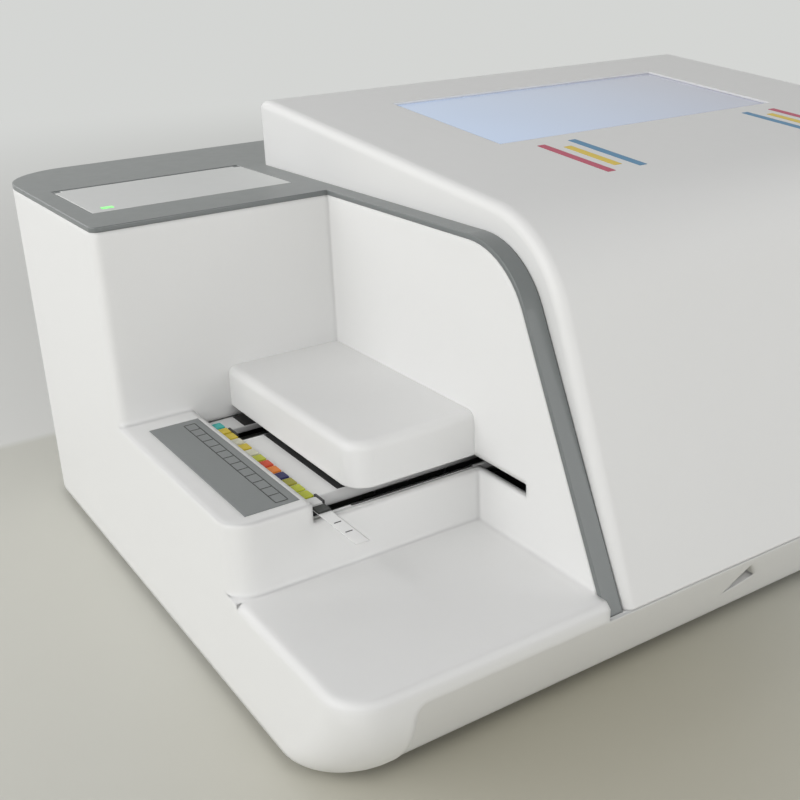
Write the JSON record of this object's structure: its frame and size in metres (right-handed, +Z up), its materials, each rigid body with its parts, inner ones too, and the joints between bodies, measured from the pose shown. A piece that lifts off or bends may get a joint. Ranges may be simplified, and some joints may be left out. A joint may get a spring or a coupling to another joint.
{
  "type": "urine analyzer",
  "caption": "Bench-top urine test strip reader with a sloped touch screen, open strip tray, printer lid and slide-out waste drawer.",
  "frame": {"origin": "centre of the overall box, at the bottom of the rubber feet", "axes": "+X to the user's right, +Y to the rear, +Z up"},
  "size_m": [0.367, 0.311, 0.183],
  "materials": {
    "white_case": "fine-textured warm white moulding",
    "gray_case": "fine-textured mid gray moulding",
    "label_gray": "flat printed film",
    "lid_gray": "satin light gray moulding",
    "screen_glass": "glossy lit display glass",
    "module_black": "matt black module housing",
    "sheet_steel": "zinc-plated sheet",
    "ground_steel": "ground and polished steel",
    "screw_steel": "plated steel",
    "dark_rubber": "matt black rubber",
    "gear_white": "natural acetal",
    "bearing_gray": "moulded gray acetal",
    "motor_black": "black motor casing",
    "strip_white": "white plastic film",
    "pad_paper": "dyed absorbent paper pads",
    "lens_clear": "clear optical plastic",
    "led_clear": "clear light-emitting diodes",
    "status_green": "green translucent lens",
    "thermal_paper": "smooth thermal paper",
    "head_ceramic": "aluminium heat sink with a ceramic edge",
    "board_green": "solder-masked board with black parts",
    "supply_silver": "folded aluminium cage",
    "port_silver": "plated shell",
    "port_black": "black connector body",
    "drawer_white": "white moulding"
  },
  "bodies": {
    "analyzer_body": {"main_housing": "white_case", "base_plate": "gray_case", "rubber_feet": "dark_rubber", "case_screws": "screw_steel", "gray_trim": "gray_case", "console_cover": "white_case", "touch_screen": "screen_glass", "display_module": "module_black", "display_bracket": "sheet_steel", "strip_hood": "white_case", "label_plate": "label_gray", "strip_deck": "white_case", "transport_frame": "sheet_steel", "guide_rods": "ground_steel", "drive_motor": "motor_black", "reader_frame": "sheet_steel", "reader_rods": "ground_steel", "reader_motor": "motor_black", "printer_tub": "gray_case", "lid_hinge_pin": "ground_steel", "roll_spindle": "bearing_gray", "print_head": "head_ceramic", "printer_motor": "motor_black", "drawer_bay": "sheet_steel", "strip_chute": "bearing_gray", "main_board": "board_green", "power_supply": "supply_silver", "serial_port": "port_silver", "usb_port": "port_silver", "power_inlet": "port_black", "switch_frame": "port_black"},
    "shuttle": {"strip_shuttle": "white_case", "shuttle_rack": "gear_white", "test_strip": "strip_white", "reagent_pads": "pad_paper"},
    "shuttle_pinion": {"drive_pinion": "gear_white"},
    "reader": {"reading_head": "module_black", "reader_lens": "lens_clear", "reader_leds": "led_clear"},
    "lead_screw": {"reader_screw": "ground_steel"},
    "lid": {"printer_lid": "lid_gray", "status_light": "status_green"},
    "roll": {"paper_roll": "thermal_paper"},
    "platen": {"platen_roller": "dark_rubber", "platen_gear": "gear_white"},
    "idler": {"printer_idler": "gear_white"},
    "printer_pinion": {"printer_motor_gear": "gear_white"},
    "drawer": {"waste_drawer": "drawer_white", "drawer_front": "white_case"},
    "rocker": {"power_rocker": "port_black"}
  },
  "joints": [
    {"name": "shuttle_slide", "type": "slide", "parent": "analyzer_body", "child": "shuttle", "axis": [1, 0, 0], "range_m": [0, 0.135]},
    {"name": "shuttle_pinion_spin", "type": "hinge", "parent": "analyzer_body", "child": "shuttle_pinion", "pos_m": [-0.017, 0.0125, 0.045], "axis": [0, 1, 0], "range_deg": [-1, 1291]},
    {"name": "reader_slide", "type": "slide", "parent": "analyzer_body", "child": "reader", "axis": [0, -1, 0], "range_m": [0, 0.085]},
    {"name": "lead_screw_spin", "type": "hinge", "parent": "analyzer_body", "child": "lead_screw", "pos_m": [-0.0489, 0, 0.089], "axis": [0, 1, 0], "range_deg": [-1, 3062]},
    {"name": "lid_hinge", "type": "hinge", "parent": "analyzer_body", "child": "lid", "pos_m": [-0.13135, 0.0965, 0.152], "axis": [-1, 0, 0], "range_deg": [0, 95]},
    {"name": "paper_roll_spin", "type": "hinge", "parent": "analyzer_body", "child": "roll", "pos_m": [-0.13135, 0.0753, 0.116], "axis": [1, 0, 0], "continuous": true},
    {"name": "platen_spin", "type": "hinge", "parent": "analyzer_body", "child": "platen", "pos_m": [-0.13135, 0.0542, 0.146], "axis": [1, 0, 0], "continuous": true},
    {"name": "idler_spin", "type": "hinge", "parent": "analyzer_body", "child": "idler", "pos_m": [-0.1644, 0.0542, 0.1356], "axis": [1, 0, 0], "continuous": true},
    {"name": "printer_pinion_spin", "type": "hinge", "parent": "analyzer_body", "child": "printer_pinion", "pos_m": [-0.1644, 0.0542, 0.126], "axis": [1, 0, 0], "continuous": true},
    {"name": "drawer_slide", "type": "slide", "parent": "analyzer_body", "child": "drawer", "axis": [1, 0, 0], "range_m": [0, 0.15]},
    {"name": "rocker_hinge", "type": "hinge", "parent": "analyzer_body", "child": "rocker", "pos_m": [0.15, 0.1485, 0.0285], "axis": [1, 0, 0], "range_deg": [0, 16]}
  ],
  "couplings": [
    {"joint": "shuttle_pinion_spin", "follows": "shuttle_slide", "rad_per_m": 166.67},
    {"joint": "lead_screw_spin", "follows": "reader_slide", "rad_per_m": 628.32},
    {"joint": "idler_spin", "follows": "platen_spin", "ratio": -0.85714},
    {"joint": "printer_pinion_spin", "follows": "platen_spin", "ratio": 1.2}
  ]
}
